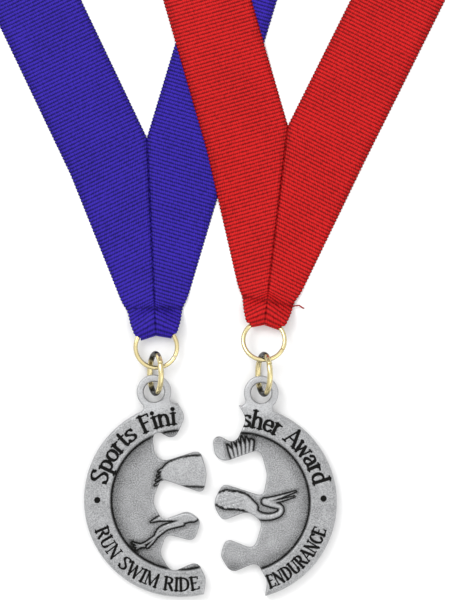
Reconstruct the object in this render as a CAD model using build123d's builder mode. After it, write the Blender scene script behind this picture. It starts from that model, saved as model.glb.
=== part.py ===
from build123d import *
from math import asin, atan2, cos, degrees, radians, sin
import os

# A two-piece finisher award lying on a table, face up: one round cast medal cut in two
# along a jigsaw line, each half on its own ring, jump ring and neck ribbon.
# Millimetres. +X right, +Y towards the neck end of the ribbons, +Z up, table at Z = 0.

# --- medal ---
MEDAL_RADIUS = 25.4
MEDAL_THICKNESS = 3.4
FIELD_RADIUS = 18.7
FIELD_DEPTH = 0.9
LIP_WIDTH = 0.5
EDGE_ROUND = 0.7
LOOP_OUTER = 4.55
LOOP_HOLE = 2.65
LOOP_THICKNESS = 1.4
NECK_WIDTHS = (9.2, 6.8)
NECK_REACH = (24.6, 26.2)
LOOP_ROUND = 0.55
LOOP_DISTANCE = 29.2

# Corners of the jigsaw line, from the top of the rim down to the bottom, round the
# middle of the whole medal: the left half's corner, the right half's, and the radius
# that rounds both. The two lines stay apart, so that the halves slip into each other.
CUT_LINE = [
    ((-1.8, 27.0), (-1.4, 27.2), 0),
    ((1.2, 21.9), (1.75, 21.9), 3.0),
    ((-1.8, 15.5), (-1.3, 15.0), 2.0),
    ((-7.3, 19.1), (-7.0, 18.6), 1.2),
    ((-7.3, 9.6), (-6.95, 10.05), 1.5),
    ((5.1, 13.0), (5.5, 14.2), 1.6),
    ((7.35, 1.25), (7.95, 0.85), 2.6),
    ((-5.2, 5.6), (-4.4, 4.9), 1.3),
    ((-7.4, -0.7), (-7.1, -0.4), 2.7),
    ((-4.9, -5.4), (-4.6, -4.9), 1.4),
    ((1.9, -2.8), (2.1, -2.3), 3.0),
    ((5.3, -5.4), (5.9, -5.2), 1.9),
    ((3.5, -10.9), (3.7, -12.4), 1.7),
    ((-3.85, -8.9), (-3.7, -9.4), 1.6),
    ((-5.6, -14.0), (-5.2, -14.0), 2.6),
    ((-2.6, -19.1), (-2.35, -18.6), 2.2),
    ((4.4, -16.1), (4.5, -15.6), 1.9),
    ((6.6, -20.7), (7.15, -20.7), 3.0),
    ((5.35, -29.5), (5.85, -29.5), 0),
]
CUT_REACH = 40

# --- metal rings ---
RING_WIRE = 0.575
RING_RADIUS = 5.43
JUMP_WIRE = 0.73
JUMP_RADIUS = 5.17
JUMP_LEAN = 17.5
JUMP_HEIGHT = 5.7
SPLIT_GAP = 0.1

# --- ribbons ---
RIBBON_WIDTH = 22.2
CLOTH = 0.5
OVER_BLUE = 1.1
SLEEVE_END = 8
NOSE_OUT = 2.0
EXIT_HALF_WIDTH = 2.7
THREAD = 0.3
STITCH_LENGTH = 1.6
STITCH_PITCH = 2.6
SIDE_REACH = 200
ABOVE_ALL = 20  # taller than anything in the model
PATH_END = 340  # beyond the neck end of the ribbons
SLEEVE_FLAT = 2.5  # level part of the sleeve over the ring
SLEEVE_EASE = 4  # from the stitch row until the cloth lies flat
FOOT_DROP = 0.5
EXIT_REACH = 4
EXIT_DEPTH = 3
SEAM_CLEAR = 3  # from the seam's last stitch to the sleeve
SEAM_START = 0.7  # first stitch, in stitch pitches below the V
ROW_DROP = 0.2
ROW_HALF = 6.8
JUMP_SPLIT = 150  # degrees round the ring
RIBBON_SPLIT = -28

# One entry per half. All places are in the layout frame, whose middle is the point
# half-way between the two half medals.
SIDES = {
    "left": dict(
        ribbon="blue",
        centre=(-7.74, 0.31),
        loop_angle=104.0,
        jump_at=(-14.35, 33.5),
        ring_at=(-14.2, 34.97, 2.7),
        hinge_z=2.3,
        vertex=(-16.7, 95.2),
        nose=(-14.2, 42.8),
        nose_corners=(-19.2, -9.2),
        cavity=3.7,
        strand_angles=(-25.5, 16.8),
        strand_lengths=(240.0, 228.0),
        level=0.0,
        ramp=None,
    ),
    "right": dict(
        ribbon="red",
        centre=(7.72, -0.31),
        loop_angle=79.0,
        jump_at=(14.0, 33.3),
        ring_at=(14.0, 37.05, 5.6),
        hinge_z=2.0,
        vertex=(20.3, 98.4),
        nose=(14.3, 45.3),
        nose_corners=(9.7, 18.95),
        cavity=4.3,
        strand_angles=(-16.2, 26.5),
        strand_lengths=(228.0, 240.0),
        level=OVER_BLUE,
        ramp=(68.0, 76.0),
    ),
}


def heading(angle):
    """Unit direction in plan, in degrees to the right of straight up the layout."""
    return Vector(sin(radians(angle)), cos(radians(angle)))


def crease_ends(corner, toward, onward):
    """The lower and upper end of the crease where a flat ribbon turns in plan."""
    along = (toward + onward).normalized()
    if along.Y < 0:
        along = -along
    half = RIBBON_WIDTH / 2 / abs(sin(radians(toward.get_angle(along))))
    return corner - along * half, corner + along * half


def ribbon_path(side):
    """Underside of the upper layer of cloth, as (y, z), from the fold at the ring upwards."""
    nose_y = side["nose"][1]
    level = side["level"]
    path = [
        (nose_y + NOSE_OUT, side["cavity"]),
        (nose_y + NOSE_OUT + SLEEVE_FLAT, side["cavity"]),
        (nose_y + SLEEVE_END, CLOTH),
        (nose_y + SLEEVE_END + SLEEVE_EASE, 0),
    ]
    if side["ramp"]:
        path += [(side["ramp"][0], 0), (side["ramp"][1], level)]
    path.append((PATH_END, level))
    return path


def band_profile(side, low, high):
    """A closed outline that follows the ribbon's path, from low to high above it."""
    path = ribbon_path(side)
    return [(y, z + low) for y, z in path] + [(y, z + high) for y, z in reversed(path)]


def ribbon_outline(side):
    """Plan outline of the two strands, and of the band behind the neck."""
    vertex = Vector(*side["vertex"])
    ways = [heading(angle) for angle in side["strand_angles"]]
    outward = [Vector(-ways[0].Y, ways[0].X), Vector(ways[1].Y, -ways[1].X)]
    shoulders = [vertex + way * RIBBON_WIDTH for way in outward]
    corners = [
        vertex + outward[i] * (RIBBON_WIDTH / 2) + ways[i] * side["strand_lengths"][i]
        for i in range(2)
    ]
    across = (corners[1] - corners[0]).normalized()
    left_low, left_high = crease_ends(corners[0], ways[0], across)
    right_low, right_high = crease_ends(corners[1], ways[1], -across)
    foot_y = side["nose"][1] - FOOT_DROP
    feet = [Vector(x, foot_y) for x in side["nose_corners"]]
    left = [feet[0], shoulders[0], left_low, left_high]
    right = [right_high, right_low, shoulders[1], feet[1]]
    return left + [vertex] + right, [left_low, left_high, right_high, right_low]


def wire_ring(radius, wire, place, gap_angle):
    """A ring of round wire in its plane's XY, with a hair-wide split at one angle."""
    with BuildPart() as ring:
        with Locations(place):
            Torus(radius, wire)
        with Locations(place * Rot(0, 0, gap_angle) * Pos(radius, 0, 0)):
            Box(3 * wire, SPLIT_GAP, 3 * wire, mode=Mode.SUBTRACT)
    return ring


def ribbon_ring_place(side):
    """Ring plane through the hinge inside the sleeve and the lowest point of the ring."""
    x, y, z = side["ring_at"]
    tilt = degrees(asin((z - side["hinge_z"]) / (2 * RING_RADIUS)))
    centre_y = y + RING_RADIUS * cos(radians(tilt))
    centre_z = (z + side["hinge_z"]) / 2
    return Pos(x, centre_y, centre_z) * Rot(-tilt, 0, 0)


def jump_ring_place(side):
    """Jump ring on edge, its plane along Y, leaning to +X."""
    x, y = side["jump_at"]
    return Pos(x, y, JUMP_HEIGHT) * Rot(0, 90 + JUMP_LEAN, 0)


def medal_half(name, side):
    """One half: rolled rim, sunk field, hanging loop and the jigsaw edge."""
    left_half = name == "left"
    corners = [left if left_half else right for left, right, _ in CUT_LINE]
    with BuildSketch() as beyond_cut:
        with BuildLine():
            cut = FilletPolyline(*corners, radius=[row[2] for row in CUT_LINE[1:-1]])
            top = cut @ 0
            bottom = cut @ 1
            far = CUT_REACH
            Polyline(bottom, (far, bottom.Y), (far, far), (top.X, far), top)
        make_face()
    with BuildPart() as half:
        with BuildSketch(Plane.XZ):
            with BuildLine():
                Polyline(
                    (0, 0),
                    (MEDAL_RADIUS - EDGE_ROUND, 0),
                    (MEDAL_RADIUS, EDGE_ROUND),
                    (MEDAL_RADIUS, MEDAL_THICKNESS - EDGE_ROUND),
                )
                RadiusArc(
                    (MEDAL_RADIUS, MEDAL_THICKNESS - EDGE_ROUND),
                    (MEDAL_RADIUS - EDGE_ROUND, MEDAL_THICKNESS),
                    -EDGE_ROUND,
                )
                Polyline(
                    (MEDAL_RADIUS - EDGE_ROUND, MEDAL_THICKNESS),
                    (FIELD_RADIUS, MEDAL_THICKNESS),
                    (FIELD_RADIUS - LIP_WIDTH, MEDAL_THICKNESS - FIELD_DEPTH),
                    (0, MEDAL_THICKNESS - FIELD_DEPTH),
                    (0, 0),
                )
            make_face()
        revolve(axis=Axis.Z)
        turn = radians(side["loop_angle"])
        radial = Vector(cos(turn), sin(turn), 0)
        neck_plane = Plane((0, 0, MEDAL_THICKNESS), x_dir=radial, z_dir=(0, 0, 1))
        with BuildSketch(neck_plane):
            with BuildLine():
                Polyline(
                    (NECK_REACH[0], -NECK_WIDTHS[0] / 2),
                    (NECK_REACH[1], -NECK_WIDTHS[1] / 2),
                    (NECK_REACH[1], NECK_WIDTHS[1] / 2),
                    (NECK_REACH[0], NECK_WIDTHS[0] / 2),
                    close=True,
                )
            make_face()
            with Locations((LOOP_DISTANCE, 0)):
                Circle(LOOP_OUTER - LOOP_ROUND, mode=Mode.SUBTRACT)
        extrude(amount=-LOOP_THICKNESS)
        loop_at = radial * LOOP_DISTANCE
        middle_z = MEDAL_THICKNESS - LOOP_THICKNESS / 2
        with BuildSketch(Plane(loop_at, x_dir=(1, 0, 0), z_dir=(0, -1, 0))):
            with Locations(((LOOP_OUTER + LOOP_HOLE) / 2, middle_z)):
                RectangleRounded(LOOP_OUTER - LOOP_HOLE, LOOP_THICKNESS, LOOP_ROUND)
        revolve(axis=Axis(loop_at, (0, 0, 1)))
        cut_mode = Mode.SUBTRACT if left_half else Mode.INTERSECT
        extrude(beyond_cut.sketch, amount=MEDAL_THICKNESS, mode=cut_mode)
    x, y = side["centre"]
    half.part = Pos(x, y, 0) * half.part
    return half


def neck_ribbon(side):
    """A flat ribbon loop: sleeve round the ring, two strands, and the band behind the neck."""
    strands, band = ribbon_outline(side)
    nose_y = side["nose"][1]
    outer = (side["cavity"] + CLOTH) / 2
    with BuildPart() as ribbon:
        with BuildSketch(Plane.YZ):
            with BuildLine():
                Polyline(*band_profile(side, 0, CLOTH), close=True)
            make_face()
            with Locations((nose_y + NOSE_OUT, 0)):
                Rectangle(SLEEVE_END, CLOTH, align=Align.MIN)
            with Locations((nose_y + NOSE_OUT, outer)):
                Ellipse(NOSE_OUT, outer)
                Ellipse(NOSE_OUT - CLOTH, outer - CLOTH, mode=Mode.SUBTRACT)
            with Locations((nose_y + NOSE_OUT, outer)):
                Rectangle(
                    NOSE_OUT,
                    side["cavity"] - CLOTH,
                    align=(Align.MIN, Align.CENTER),
                    mode=Mode.SUBTRACT,
                )
        extrude(amount=SIDE_REACH, both=True)
        with BuildSketch():
            with BuildLine():
                Polyline(*strands, close=True)
            make_face()
        extrude(amount=ABOVE_ALL, mode=Mode.INTERSECT)
        with BuildSketch(Plane.XY.offset(side["level"] + CLOTH)):
            with BuildLine():
                Polyline(*band, close=True)
            make_face()
        extrude(amount=CLOTH)
        # The ring's wire leaves the fold through its two open sides.
        exit_z = (CLOTH + side["cavity"]) / 2
        ring_x = side["ring_at"][0]
        for direction in (-1, 1):
            exit_x = ring_x + direction * (EXIT_HALF_WIDTH + EXIT_REACH / 2)
            with Locations((exit_x, nose_y + NOSE_OUT / 2, exit_z)):
                Box(EXIT_REACH, EXIT_DEPTH, side["cavity"] - CLOTH, mode=Mode.SUBTRACT)
    return ribbon


def stitches(side, spots, length, turn):
    """Short stitches lying on the cloth, one at each of the given places in plan."""
    with BuildPart() as thread:
        with BuildSketch(Plane.YZ):
            with BuildLine():
                Polyline(*band_profile(side, CLOTH, CLOTH + THREAD), close=True)
            make_face()
        extrude(amount=SIDE_REACH, both=True)
        with BuildSketch():
            with Locations(*[Location((spot.X, spot.Y, 0), (0, 0, turn)) for spot in spots]):
                SlotOverall(length, THREAD)
        extrude(amount=ABOVE_ALL, mode=Mode.INTERSECT)
    return thread


def seam_spots(side):
    """Places of the stitches down the mitred seam, from the point of the V to the sleeve."""
    top = Vector(*side["vertex"])
    low = Vector(*side["nose"])
    way = (low - top).normalized()
    length = (low - top).length - SLEEVE_END - SEAM_CLEAR
    count = int(length / STITCH_PITCH)
    turn = degrees(atan2(way.Y, way.X))
    return [top + way * STITCH_PITCH * (i + SEAM_START) for i in range(count)], turn


def sleeve_spots(side):
    """Places of the stitches of the row that closes the sleeve."""
    y = side["nose"][1] + SLEEVE_END - ROW_DROP
    middle = side["nose"][0]
    count = int(2 * ROW_HALF / STITCH_PITCH)
    step = 2 * ROW_HALF / count
    return [Vector(middle - ROW_HALF + step * (i + 0.5), y) for i in range(count)]


os.makedirs("parts", exist_ok=True)
pieces = {}
for name, side in SIDES.items():
    ribbon_name = side["ribbon"]
    pieces[f"{name}_medal_half"] = medal_half(name, side)
    pieces[f"{name}_jump_ring"] = wire_ring(
        JUMP_RADIUS, JUMP_WIRE, jump_ring_place(side), JUMP_SPLIT
    )
    pieces[f"{ribbon_name}_ribbon_ring"] = wire_ring(
        RING_RADIUS, RING_WIRE, ribbon_ring_place(side), RIBBON_SPLIT
    )
    pieces[f"{ribbon_name}_ribbon"] = neck_ribbon(side)
    seam, seam_turn = seam_spots(side)
    pieces[f"{ribbon_name}_seam_thread"] = stitches(side, seam, STITCH_LENGTH, seam_turn)
    pieces[f"{ribbon_name}_sleeve_stitches"] = stitches(
        side, sleeve_spots(side), STITCH_LENGTH, 0
    )

# The model's origin is under the middle of its outline.
boxes = [piece.part.bounding_box() for piece in pieces.values()]
left_edge = min(box.min.X for box in boxes)
right_edge = max(box.max.X for box in boxes)
near_edge = min(box.min.Y for box in boxes)
far_edge = max(box.max.Y for box in boxes)
ORIGIN_SHIFT = Pos(-(left_edge + right_edge) / 2, -(near_edge + far_edge) / 2, 0)

for name, piece in pieces.items():
    piece.part = ORIGIN_SHIFT * piece.part
    piece.part.label = name
    export_step(piece.part, f"parts/{name}.step")
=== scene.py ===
import math

import bpy
import bmesh
import numpy as np
from mathutils import Matrix, Vector
from mathutils.geometry import delaunay_2d_cdt
from mathutils.kdtree import KDTree


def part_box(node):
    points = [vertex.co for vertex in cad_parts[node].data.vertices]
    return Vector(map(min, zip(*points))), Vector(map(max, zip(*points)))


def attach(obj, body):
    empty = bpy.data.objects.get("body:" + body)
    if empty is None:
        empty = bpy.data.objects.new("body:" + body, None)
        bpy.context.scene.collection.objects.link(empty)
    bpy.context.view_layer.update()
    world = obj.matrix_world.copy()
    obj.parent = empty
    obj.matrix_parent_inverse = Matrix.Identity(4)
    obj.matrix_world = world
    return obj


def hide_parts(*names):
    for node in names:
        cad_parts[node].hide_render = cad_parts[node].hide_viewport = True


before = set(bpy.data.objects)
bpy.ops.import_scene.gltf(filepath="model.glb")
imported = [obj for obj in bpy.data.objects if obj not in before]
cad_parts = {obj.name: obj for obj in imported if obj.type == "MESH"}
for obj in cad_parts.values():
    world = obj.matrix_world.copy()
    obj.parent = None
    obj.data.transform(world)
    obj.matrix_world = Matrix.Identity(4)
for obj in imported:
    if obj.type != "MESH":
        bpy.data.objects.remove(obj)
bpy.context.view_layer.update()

MM = 0.001
RNG = np.random.default_rng(7)

# Everything below is in millimetres in the drawing frame of part.py, whose origin is midway
# between the two half-medal centres. ORIGIN carries it to the frame's own origin.
LEFT_CENTRE = np.array([-7.74, 0.31])
RIGHT_CENTRE = np.array([7.72, -0.31])
MEDAL_RADIUS = 25.4
MEDAL_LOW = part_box("left_medal_half")[0]
ORIGIN = np.array([MEDAL_LOW.x / MM + MEDAL_RADIUS, MEDAL_LOW.y / MM + MEDAL_RADIUS]) - LEFT_CENTRE

# The cast halves. The field is sunk inside the rim, and the loops are thinner than the rim.
MEDAL_TOP = 3.4
FIELD_TOP = 2.5
FIELD_RADIUS = 18.65
WALL_FOOT = 18.15
LOOP_BACK = 2.0
LOOP_DISTANCE = 29.2
LOOP_ANGLES = (104, 79)
LOOP_OUTER = 4.55
LOOP_HOLE = 2.65
NECK_BLEND = 1.2
# Corners of the jigsaw line on the left half and on the right one, and how round each is.
CUT_LINE = (
    ((-1.8, 27.0), (-1.4, 27.2), 0),
    ((1.2, 21.9), (1.75, 21.9), 3.0),
    ((-1.8, 15.5), (-1.3, 15.0), 2.0),
    ((-7.8, 19.2), (-7.5, 18.8), 1.6),
    ((-6.6, 9.4), (-6.3, 9.8), 3.0),
    ((5.0, 13.1), (5.3, 14.0), 1.6),
    ((6.9, 7.0), (7.2, 7.1), 6.0),
    ((5.9, 1.7), (6.1, 1.5), 1.2),
    ((-5.2, 5.6), (-4.4, 4.9), 1.5),
    ((-7.6, -0.6), (-7.3, -0.3), 4.2),
    ((-4.9, -5.4), (-4.6, -4.9), 1.4),
    ((1.9, -2.8), (2.1, -2.3), 3.0),
    ((5.3, -5.4), (5.9, -5.2), 1.9),
    ((3.5, -10.9), (3.7, -12.4), 1.7),
    ((-3.85, -8.9), (-3.7, -9.4), 1.6),
    ((-5.6, -14.0), (-5.2, -14.0), 2.6),
    ((-2.6, -19.1), (-2.35, -18.6), 2.2),
    ((4.4, -16.1), (4.5, -15.6), 1.9),
    ((6.6, -20.7), (7.15, -20.7), 3.0),
    ((5.35, -29.5), (5.85, -29.5), 0),
)

# The ribbons. Each runs from its sleeve up two strands to the corners of a neck band.
RIBBON_WIDTH = 22.2
RIB_PITCH = 0.93
CLOTH = 0.4
FOLD_ROLL = 0.275
SLEEVE_END = 8.0
TAIL_END = 9.5
RIBBONS = {
    "blue": dict(
        vertex=(-16.7, 95.2), angles=(-25.5, 16.8), lengths=(240, 228),
        feet=((-19.2, 41.9), (-9.2, 42.6)), middle=(-14.3, 43.5), sleeve_z=4.0,
        row=(-13.9, 50.6), row_half=6.7, row_slope=0.0,
    ),
    "red": dict(
        vertex=(20.3, 98.4), angles=(-16.2, 26.5), lengths=(228, 240),
        feet=((9.7, 45.5), (18.95, 44.6)), middle=(14.1, 46.3), sleeve_z=3.9,
        row=(15.2, 52.4), row_half=7.0, row_slope=-0.19,
    ),
}

# The rings. A ribbon ring leans from its sleeve's hinge, and a jump ring stands on edge.
RINGS = {
    "blue_ribbon_ring": dict(at=(-14.2, 34.97, 2.7), hinge_z=2.3),
    "red_ribbon_ring": dict(at=(14.0, 37.05, 5.6), hinge_z=2.0),
    "left_jump_ring": dict(at=(-14.35, 33.5, 5.7)),
    "right_jump_ring": dict(at=(14.0, 33.3, 5.7)),
}
RIBBON_RING = dict(radius=5.43, wire=0.575, gap=-28)
JUMP_RING = dict(radius=5.17, wire=0.73, gap=150)
JUMP_TURN = 107.5
# How far painted dark reflection blackens each jump ring's two ends.
JUMP_PAINTED_DARK_ENDS = 0.93

SHOT_CENTRE = np.array([3.67, 52.7])
SHOT_HEIGHT = 157.5
CAMERA_UP = 1200.0
SENSOR = 36.0


# ---------------------------------------------------------------- helpers

def smooth(low, high, x):
    """Smooth step from 0 at low to 1 at high."""
    t = np.clip((x - low) / (high - low), 0.0, 1.0)
    return t * t * (3 - 2 * t)


def unit(v):
    v = np.asarray(v, float)
    return v / np.linalg.norm(v)


def unit_rows(v):
    return v / np.linalg.norm(v, axis=1)[:, None]


def to_frame(points):
    """Millimetres in the drawing frame to metres in the model's frame."""
    points = np.array(points, float)
    points[:, :2] += ORIGIN
    return points * MM


def add_object(name, data):
    made = bpy.data.objects.new(name, data)
    bpy.context.scene.collection.objects.link(made)
    return made


def new_piece(name, points, faces, material):
    """A smooth mesh object from points in drawing millimetres."""
    mesh = bpy.data.meshes.new(name)
    mesh.from_pydata(to_frame(points).tolist(), [], faces)
    work = bmesh.new()
    work.from_mesh(mesh)
    bmesh.ops.recalc_face_normals(work, faces=work.faces)
    work.to_mesh(mesh)
    work.free()
    mesh.polygons.foreach_set("use_smooth", [True] * len(mesh.polygons))
    mesh.materials.append(material)
    return add_object(name, mesh)


def shell_faces(rows, around):
    """Faces of a closed shell whose points come in rows, each once round it."""
    faces = []
    for i in range(rows - 1):
        low, high = i * around, (i + 1) * around
        for j in range(around):
            k = (j + 1) % around
            faces.append((low + j, low + k, high + k, high + j))
    faces.append(tuple(reversed(range(around))))
    faces.append(tuple((rows - 1) * around + j for j in range(around)))
    return faces


def set_attribute(piece, name, values, kind="FLOAT", field="value"):
    layer = piece.data.attributes.new(name, kind, "POINT")
    layer.data.foreach_set(field, np.asarray(values, np.float32).ravel())


def curve_through(points, per_span=6):
    """Catmull-Rom points through a few control points."""
    p = np.array(points, float)
    p = np.vstack([2 * p[0] - p[1], p, 2 * p[-1] - p[-2]])
    out = []
    for i in range(1, len(p) - 2):
        for t in np.arange(per_span) / per_span:
            a, b, c, d = p[i - 1:i + 3]
            out.append(0.5 * (2 * b + (c - a) * t + (2 * a - 5 * b + 4 * c - d) * t ** 2
                              + (3 * b - a - 3 * c + d) * t ** 3))
    out.append(p[-2])
    return np.array(out)


# ---------------------------------------------------------------- camera and light

def make_camera():
    data = bpy.data.cameras.new("camera")
    data.sensor_width = SENSOR
    data.lens = CAMERA_UP * SENSOR / SHOT_HEIGHT
    data.clip_end = 10
    camera = add_object("camera", data)
    x, y = (SHOT_CENTRE + ORIGIN) * MM
    camera.location = (x, y, CAMERA_UP * MM)
    bpy.context.scene.camera = camera


def make_world():
    """Soft studio dome: bright overhead, greyer towards the horizon."""
    world = bpy.data.worlds.new("studio")
    bpy.context.scene.world = world
    world.use_nodes = True
    nodes, links = world.node_tree.nodes, world.node_tree.links
    coords = nodes.new("ShaderNodeTexCoord")
    split = nodes.new("ShaderNodeSeparateXYZ")
    ramp = nodes.new("ShaderNodeValToRGB")
    ramp.color_ramp.elements[0].position = 0.0
    ramp.color_ramp.elements[0].color = (0.28, 0.28, 0.28, 1)
    ramp.color_ramp.elements[1].position = 0.75
    ramp.color_ramp.elements[1].color = (1.0, 1.0, 1.0, 1)
    for height, level in ((0.16, 0.32), (0.36, 0.66)):
        ramp.color_ramp.elements.new(height).color = (level, level, level, 1)
    links.new(coords.outputs["Generated"], split.inputs[0])
    links.new(split.outputs["Z"], ramp.inputs["Fac"])
    links.new(ramp.outputs["Color"], nodes["Background"].inputs["Color"])
    nodes["Background"].inputs["Strength"].default_value = 1.12


def make_light(name, spot, target, size, power):
    data = bpy.data.lights.new(name, "AREA")
    data.size = size
    data.energy = power
    light = add_object(name, data)
    light.location = spot
    light.rotation_mode = "QUATERNION"
    light.rotation_quaternion = (Vector(target) - Vector(spot)).to_track_quat("-Z", "Y")


def make_floor():
    points = np.array([(-1, -1, 0), (1, -1, 0), (1, 1, 0), (-1, 1, 0)], float) * 8
    mesh = bpy.data.meshes.new("floor")
    mesh.from_pydata(points.tolist(), [], [(0, 1, 2, 3)])
    material, shader, _ = new_material("studio_floor")
    feed(shader, {"Base Color": (0.95, 0.95, 0.95, 1), "Roughness": 0.9})
    mesh.materials.append(material)
    add_object("floor", mesh)


# ---------------------------------------------------------------- materials

def new_material(name):
    """A material, its shader and its node tree."""
    material = bpy.data.materials.new(name)
    material.use_nodes = True
    tree = material.node_tree
    return material, tree.nodes["Principled BSDF"], tree


def feed(node, inputs):
    """Give a node's inputs their values, or join them to other nodes' outputs."""
    for key, value in inputs.items():
        if isinstance(value, bpy.types.NodeSocket):
            node.id_data.links.new(value, node.inputs[key])
        else:
            node.inputs[key].default_value = value


def add_node(tree, kind, inputs, output=0, **settings):
    """A new node's output."""
    node = tree.nodes.new(kind)
    for key, value in settings.items():
        setattr(node, key, value)
    feed(node, inputs)
    return node.outputs[output]


def object_coords(tree):
    return add_node(tree, "ShaderNodeTexCoord", {}, "Object")


def attribute(tree, name, output="Fac"):
    return add_node(tree, "ShaderNodeAttribute", {}, output, attribute_name=name)


def noise(tree, coords, scale, detail):
    """Noise with its scale given per metre, as object coordinates are metres."""
    settings = {"Vector": coords, "Scale": scale, "Detail": detail}
    return add_node(tree, "ShaderNodeTexNoise", settings, "Fac")


def math_node(tree, operation, a, b, clamp=False):
    return add_node(tree, "ShaderNodeMath", {0: a, 1: b}, operation=operation, use_clamp=clamp)


def swing(tree, pattern, amount):
    """A pattern from 0 to 1 as a swing of a given size about zero."""
    return math_node(tree, "MULTIPLY", math_node(tree, "SUBTRACT", pattern, 0.5), amount)


def mix_colour(tree, factor, a, b):
    return add_node(tree, "ShaderNodeMix", {0: factor, 6: a, 7: b}, 2, data_type="RGBA")


def remap(tree, pattern, span, values):
    """Values that follow a pattern over a span of it."""
    return add_node(tree, "ShaderNodeMapRange", dict(enumerate((pattern, *span, *values))))


def bump(tree, height, strength, metres, invert=False):
    settings = {"Height": height, "Strength": strength, "Distance": metres}
    return add_node(tree, "ShaderNodeBump", settings, invert=invert)


def pewter():
    """Antiqued cast pewter: blackened letters and hollows, pale tops, edges and loop from painted
    highlight, painted shade at the wall's foot, sandy grain.
    """
    material, shader, tree = new_material("antiqued_pewter")
    coords = object_coords(tree)
    clouds = swing(tree, noise(tree, coords, 320, 4), 0.28)
    grains = noise(tree, coords, 3600, 6)
    fine = math_node(tree, "MULTIPLY", noise(tree, coords, 9000, 3), 0.5)
    dark = math_node(tree, "ADD", attribute(tree, "patina_and_painted_light"), swing(tree, grains, 1.35))
    dark = math_node(tree, "ADD", dark, clouds, clamp=True)
    feed(shader, {
        "Base Color": mix_colour(tree, dark, (0.50, 0.505, 0.515, 1), (0.012, 0.012, 0.011, 1)),
        "Metallic": 0.85,
        "Roughness": remap(tree, dark, (0.0, 1.0), (0.44, 0.8)),
        "Normal": bump(tree, math_node(tree, "ADD", grains, fine), 0.6, 0.00014),
    })
    return material


def gold():
    """Thin bright gold plate with drawing marks and dull patches, darkened down to black by
    painted shade and painted dark reflection.
    """
    material, shader, tree = new_material("gold_plate")
    coords = object_coords(tree)
    patches = noise(tree, coords, 900, 3)
    # The attribute is painted shade and painted dark reflection; it takes the plate down to black
    # and off metal.
    painted_shade_and_reflection = attribute(tree, "painted_shade_and_reflection")
    bright = mix_colour(tree, patches, (0.84, 0.73, 0.42, 1), (0.72, 0.60, 0.30, 1))
    feed(shader, {
        "Base Color": mix_colour(tree, painted_shade_and_reflection, bright, (0.006, 0.005, 0.003, 1)),
        "Metallic": math_node(tree, "SUBTRACT", 1.0, painted_shade_and_reflection, clamp=True),
        "Specular IOR Level": 0.2,
        "Roughness": remap(tree, patches, (0.3, 0.7), (0.12, 0.26)),
        "Normal": bump(tree, noise(tree, coords, 5200, 2), 0.12, 0.00005),
    })
    return material


def grosgrain(name, rib_colour, dark_and_shaded_colour):
    """Ribbed ribbon: light rib backs, grooves and stitch row darkened by painted shade, single
    threads along each rib.
    """
    material, shader, tree = new_material(name)
    coords = object_coords(tree)
    weave = {"Vector": attribute(tree, "weave", "Vector"), "Scale": 1.0, "Randomness": 0.3}
    threads = add_node(tree, "ShaderNodeTexVoronoi", weave, "Distance")
    fuzz = noise(tree, coords, 5200, 3)
    dots = math_node(tree, "MULTIPLY", threads, 1.5)
    fade = swing(tree, noise(tree, coords, 90, 2), 0.3)
    edge = math_node(tree, "MULTIPLY", attribute(tree, "selvedge"), 0.25)
    # Painted shade: the grooves between the ribs and the stitch row are darkened.
    dark = math_node(tree, "MULTIPLY", attribute(tree, "painted_groove_shade"), 0.8)
    dark = math_node(tree, "ADD", dark, math_node(tree, "SUBTRACT", dots, 0.50))
    dark = math_node(tree, "ADD", dark, math_node(tree, "ADD", swing(tree, fuzz, 0.5), fade))
    dark = math_node(tree, "ADD", dark, edge, clamp=True)
    height = math_node(tree, "ADD", threads, math_node(tree, "MULTIPLY", fuzz, 0.6))
    feed(shader, {
        "Base Color": mix_colour(tree, dark, rib_colour, dark_and_shaded_colour),
        "Roughness": 0.62,
        "Specular IOR Level": 0.12,
        "Sheen Weight": 0.05,
        "Sheen Roughness": 0.45,
        "Sheen Tint": (*(min(1.0, c * 1.8) for c in rib_colour[:3]), 1),
        "Normal": bump(tree, height, 0.4, 0.00008, invert=True),
    })
    return material


def sewing_thread(name, light, deep):
    """Twisted polyester thread: a fine spiral of lighter and darker ply."""
    material, shader, tree = new_material(name)
    spiral = {"Vector": object_coords(tree), "Scale": 1500.0, "Distortion": 2.0, "Detail": 2.0}
    ply = add_node(tree, "ShaderNodeTexWave", spiral, "Fac", bands_direction="DIAGONAL")
    feed(shader, {
        "Base Color": mix_colour(tree, ply, light, deep),
        "Roughness": 0.75,
        "Specular IOR Level": 0.12,
        "Normal": bump(tree, ply, 0.5, 0.00004),
    })
    return material


# ---------------------------------------------------------------- ribbons

ROWS_PER_RIB = 4
# Points across the cloth, as shares of its width: the front, thin at both edges, then the back.
FRONT = (0, 0.022, 0.07, 0.19, 0.36, 0.55, 0.74, 0.9, 0.975, 1.0)
BACK = (0.95, 0.72, 0.5, 0.28, 0.05)
SELVEDGE_RIDGES = (0.022, 0.975)
COLUMNS = np.array(FRONT + BACK)
SIDE_OF_CLOTH = np.array([0] + [1] * (len(FRONT) - 2) + [0] + [-1] * len(BACK))
UNDER_RING = 0.25  # middle height of the sleeve's lower layer
OVER_TAIL = 0.78  # and of its upper layer where both are sewn together
LAYER_SLOPE = 5.0  # how far cloth takes to come down from an edge below it
SLEEVE_NARROWING = 0.21  # the fold lies between the ring's two wires
THREAD_PITCH = 0.52


def heading(angle):
    turn = math.radians(angle)
    return np.array([math.sin(turn), math.cos(turn)])


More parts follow.
